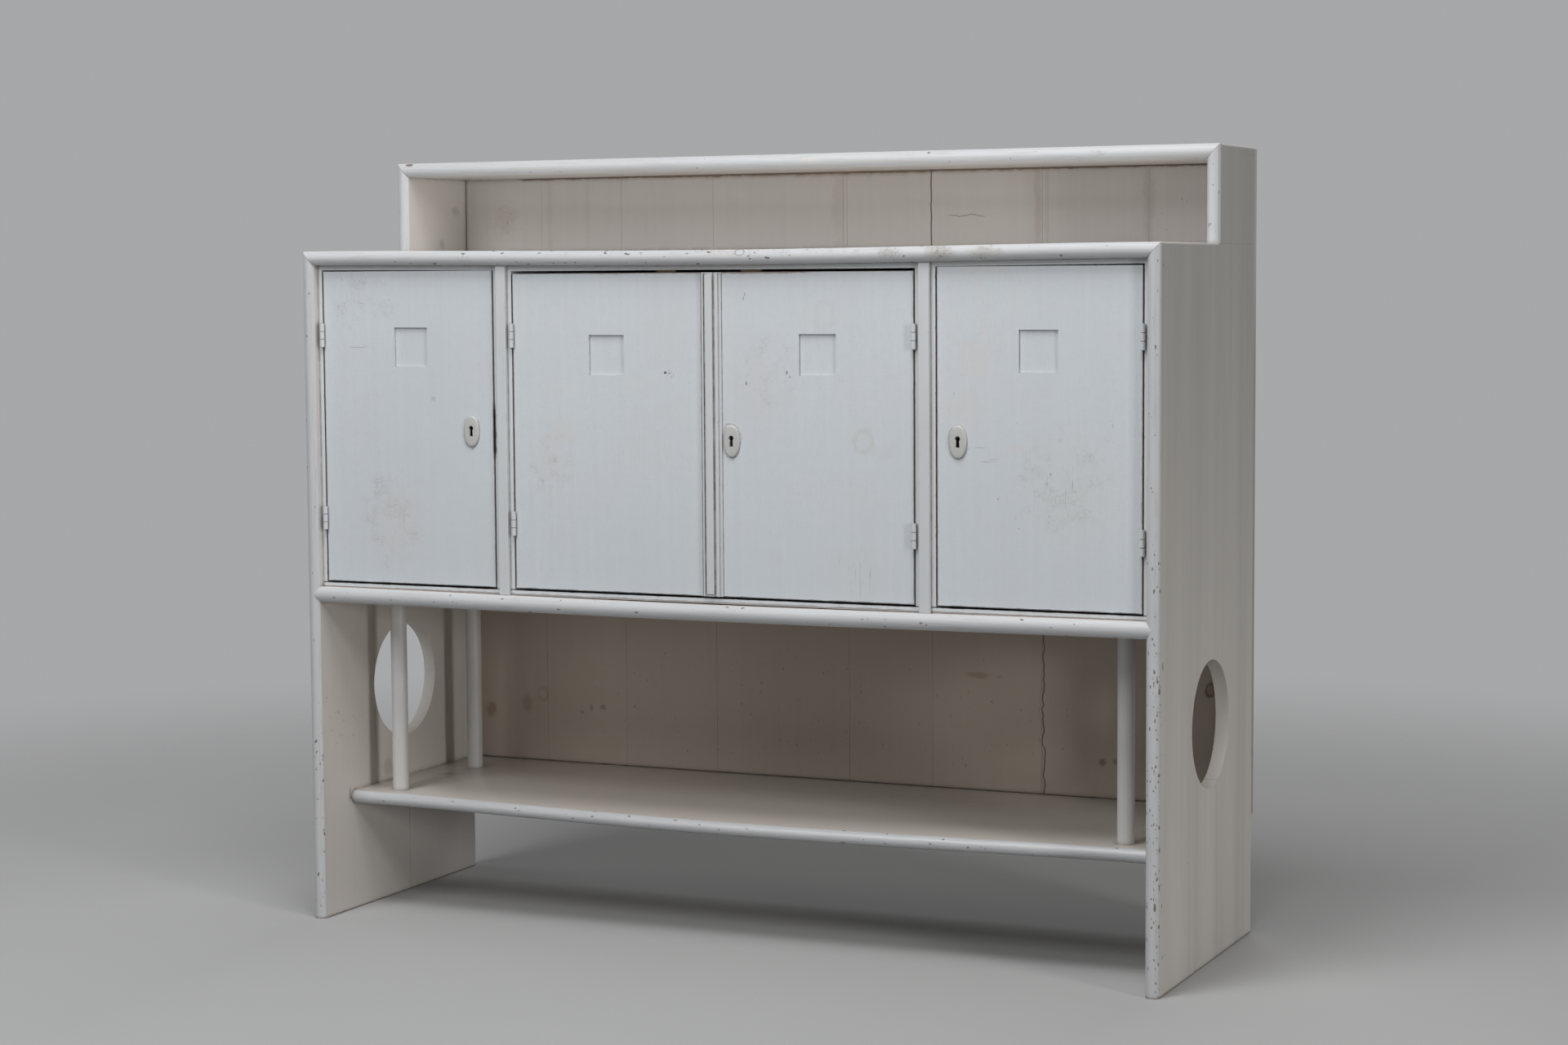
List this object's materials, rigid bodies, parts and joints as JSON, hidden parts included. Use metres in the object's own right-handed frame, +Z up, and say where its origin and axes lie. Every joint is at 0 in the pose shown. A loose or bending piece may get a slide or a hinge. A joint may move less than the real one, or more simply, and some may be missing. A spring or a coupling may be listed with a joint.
{
  "type": "storage cabinet",
  "caption": "Painted wooden storage cabinet with flush locking doors, an open post bay with a shelf below, round holes through the sides and a low open hutch on top",
  "frame": {"origin": "middle of the cabinet's outline on the floor", "axes": "+X to the right along the front, +Y from the front to the back, +Z up"},
  "size_m": [1.52, 0.527, 1.308],
  "materials": {
    "case_paint": "old white oil paint over softwood boards, chipped along the edges",
    "door_paint": "cool grey-white oil paint with fine cracks along the grain",
    "back_paint": "old off-white paint over upright softwood boards",
    "inner_wood": "bare softwood, darkened with age",
    "escutcheon_paint": "pressed brass painted over with the doors",
    "hinge_metal": "small steel butt hinges, painted over on the knuckles",
    "screw_metal": "steel countersunk wood screws",
    "strike_metal": "thin steel plates with light rust",
    "lock_metal": "sheet steel lock case with brown patina",
    "bolt_metal": "worn brass",
    "slide_bolt_metal": "plain steel slide bolt"
  },
  "bodies": {
    "case": {"back_board_1": "back_paint", "back_board_2": "back_paint", "back_board_3": "back_paint", "back_board_4": "back_paint", "back_board_5": "back_paint", "back_board_6": "back_paint", "back_board_7": "back_paint", "back_board_8": "back_paint", "cupboard_bottom": "case_paint", "divider_left": "case_paint", "divider_right": "case_paint", "door_stop_blocks": "inner_wood", "hinge_frame_leaves": "hinge_metal", "hinge_frame_screws": "screw_metal", "hinge_pins": "hinge_metal", "hutch_top": "case_paint", "left_bay_lining": "case_paint", "left_bay_shelf": "inner_wood", "lower_shelf": "case_paint", "main_top": "case_paint", "middle_bay_lining": "case_paint", "middle_bay_shelf": "inner_wood", "post_front_left": "case_paint", "post_front_right": "case_paint", "post_rear_left": "case_paint", "post_rear_right": "case_paint", "right_bay_lining": "case_paint", "right_bay_shelf": "inner_wood", "shelf_cleats": "inner_wood", "side_left": "case_paint", "side_right": "case_paint", "slide_bolt_keeper": "strike_metal", "strike_plate_left": "strike_metal", "strike_plate_right": "strike_metal"},
    "door_1": {"door_1_escutcheon": "escutcheon_paint", "door_1_hinge_leaves": "hinge_metal", "door_1_hinge_screws": "screw_metal", "door_1_lock_case": "lock_metal", "door_1_panel": "door_paint"},
    "door_2": {"door_2_bolt_guide": "slide_bolt_metal", "door_2_hinge_leaves": "hinge_metal", "door_2_hinge_screws": "screw_metal", "door_2_panel": "door_paint", "door_2_strike_plate": "strike_metal"},
    "door_3": {"door_3_cover_strip": "door_paint", "door_3_escutcheon": "escutcheon_paint", "door_3_hinge_leaves": "hinge_metal", "door_3_hinge_screws": "screw_metal", "door_3_lock_case": "lock_metal", "door_3_panel": "door_paint"},
    "door_4": {"door_4_escutcheon": "escutcheon_paint", "door_4_hinge_leaves": "hinge_metal", "door_4_hinge_screws": "screw_metal", "door_4_lock_case": "lock_metal", "door_4_panel": "door_paint"},
    "door_1_lock_bolt": {"door_1_lock_bolt": "bolt_metal"},
    "door_3_lock_bolt": {"door_3_lock_bolt": "bolt_metal"},
    "door_4_lock_bolt": {"door_4_lock_bolt": "bolt_metal"},
    "door_2_bolt_rod": {"door_2_bolt_rod": "slide_bolt_metal"}
  },
  "joints": [
    {"name": "door_1_swing", "type": "hinge", "parent": "case", "child": "door_1", "pos_m": [-0.72875, -0.2497, 0.851], "axis": [0, 0, -1], "range_deg": [0, 150]},
    {"name": "door_2_swing", "type": "hinge", "parent": "case", "child": "door_2", "pos_m": [-0.35975, -0.2497, 0.851], "axis": [0, 0, -1], "range_deg": [0, 165]},
    {"name": "door_3_swing", "type": "hinge", "parent": "case", "child": "door_3", "pos_m": [0.35675, -0.2497, 0.851], "axis": [0, 0, 1], "range_deg": [0, 165]},
    {"name": "door_4_swing", "type": "hinge", "parent": "case", "child": "door_4", "pos_m": [0.72875, -0.2497, 0.851], "axis": [0, 0, 1], "range_deg": [0, 150]},
    {"name": "door_1_lock_throw", "type": "slide", "parent": "door_1", "child": "door_1_lock_bolt", "axis": [1, 0, 0], "range_m": [0, 0.007]},
    {"name": "door_3_lock_throw", "type": "slide", "parent": "door_3", "child": "door_3_lock_bolt", "axis": [-1, 0, 0], "range_m": [0, 0.007]},
    {"name": "door_4_lock_throw", "type": "slide", "parent": "door_4", "child": "door_4_lock_bolt", "axis": [-1, 0, 0], "range_m": [0, 0.007]},
    {"name": "door_2_bolt_slide", "type": "slide", "parent": "door_2", "child": "door_2_bolt_rod", "axis": [0, 0, 1], "range_m": [0, 0.025]}
  ]
}
